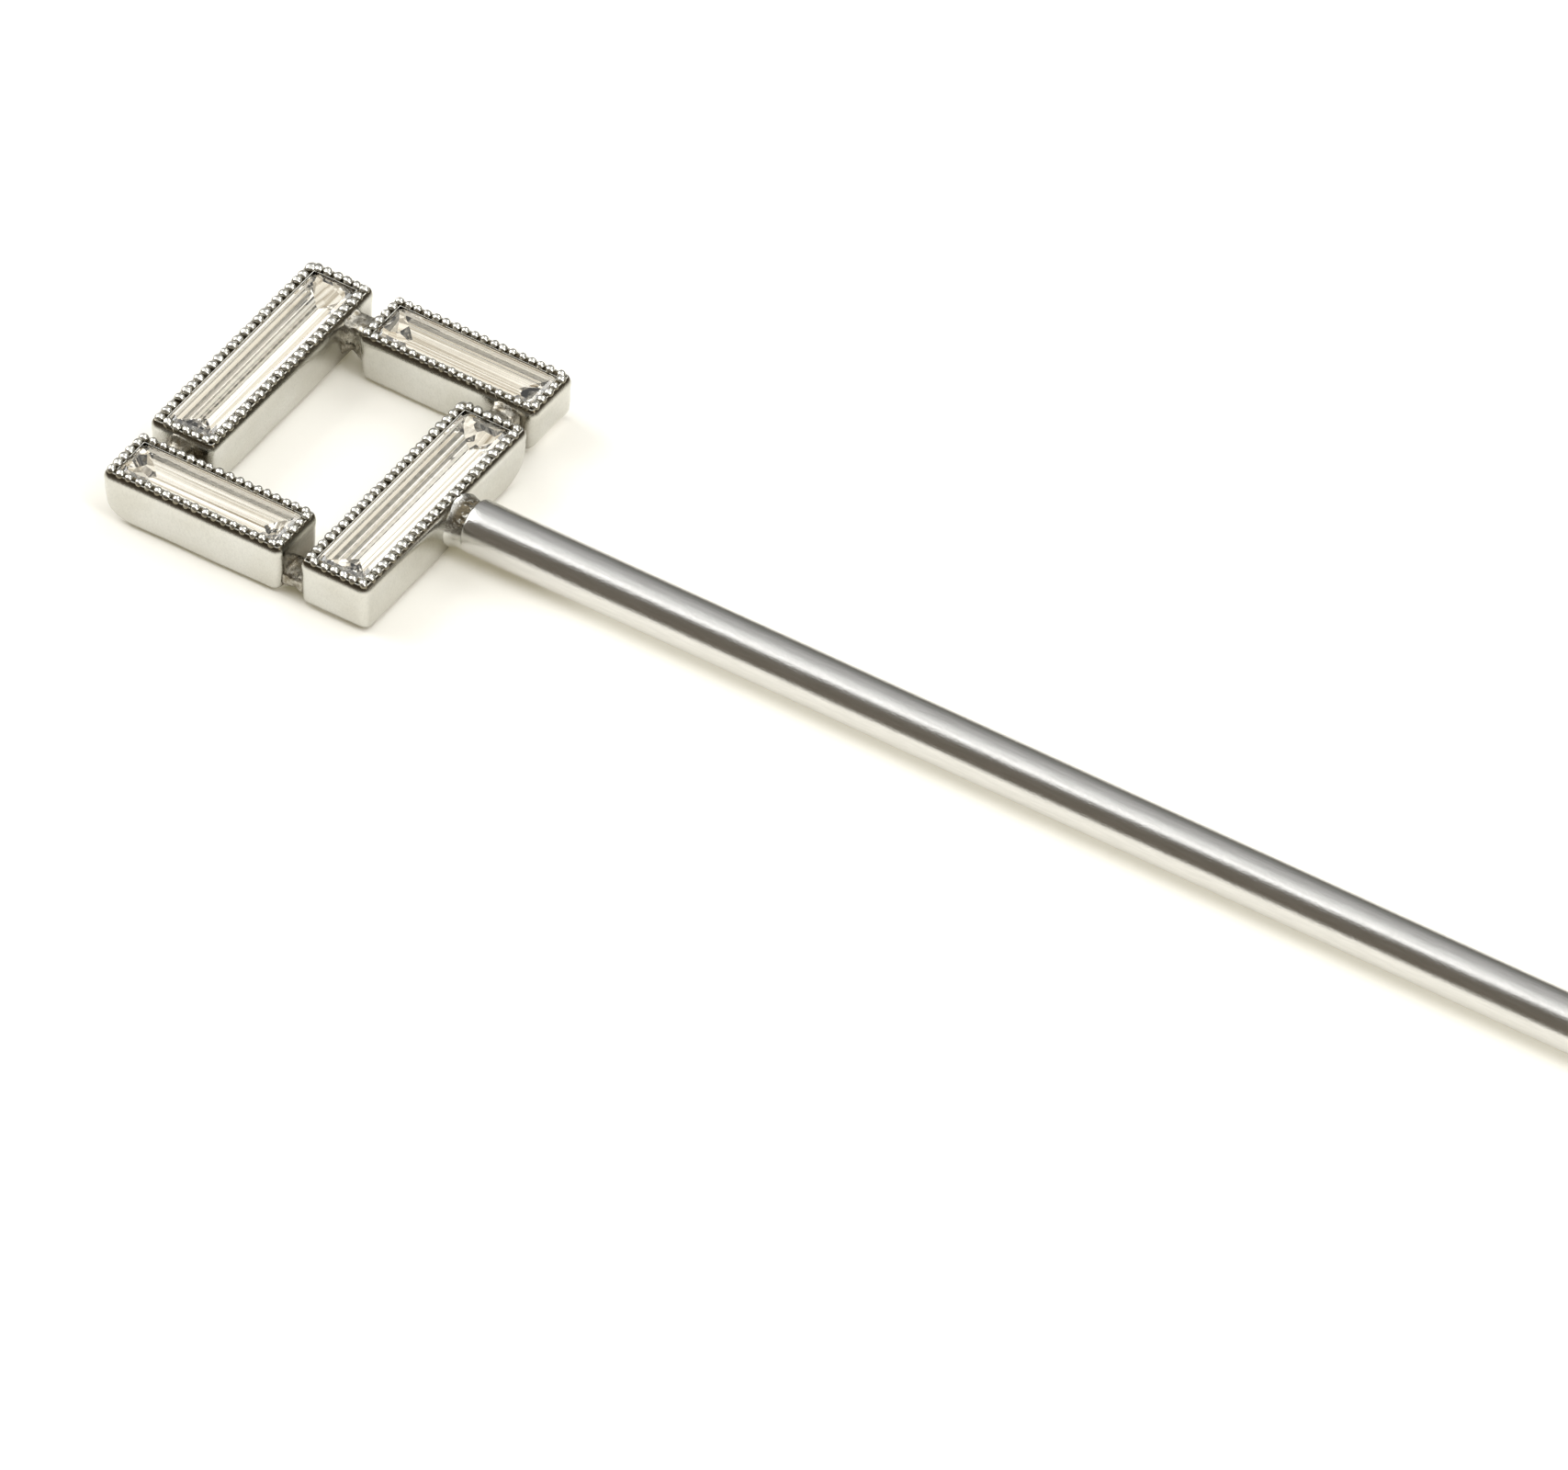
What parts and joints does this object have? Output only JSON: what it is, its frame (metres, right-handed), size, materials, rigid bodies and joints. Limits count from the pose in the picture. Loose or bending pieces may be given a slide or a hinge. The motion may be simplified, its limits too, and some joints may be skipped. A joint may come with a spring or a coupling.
{
  "type": "decorative hair pin",
  "caption": "Single-prong decorative hair pin: an open pinwheel head of milgrain-edged box collets with long step-cut stones, on a straight round tapered shaft.",
  "frame": {"origin": "the shaft's axis at its root, where the round wire starts in front of the neck", "axes": "+X along the shaft to its tip, +Y across the head to the far collet, +Z out of the stones"},
  "size_m": [0.1101, 0.0131, 0.0021],
  "materials": {
    "collet_metal": "satin white precious metal, polished milgrain beads with dark crevices",
    "seat_metal": "satin white precious metal",
    "champagne_stone": "polished step-cut clear stone with a pale champagne tint",
    "solder": "lightly pitted solder",
    "shaft_metal": "drawn wire, polished along its length"
  },
  "bodies": {
    "root": {"collet_near": "collet_metal", "bearing_near": "seat_metal", "stone_near": "champagne_stone", "collet_left": "collet_metal", "bearing_left": "seat_metal", "stone_left": "champagne_stone", "collet_far": "collet_metal", "bearing_far": "seat_metal", "stone_far": "champagne_stone", "collet_right": "collet_metal", "bearing_right": "seat_metal", "stone_right": "champagne_stone", "bridge_near_right": "solder", "bridge_far_left": "solder", "bridge_left_near": "solder", "bridge_right_far": "solder", "shaft_neck": "solder", "shaft": "shaft_metal"}
  },
  "joints": []
}
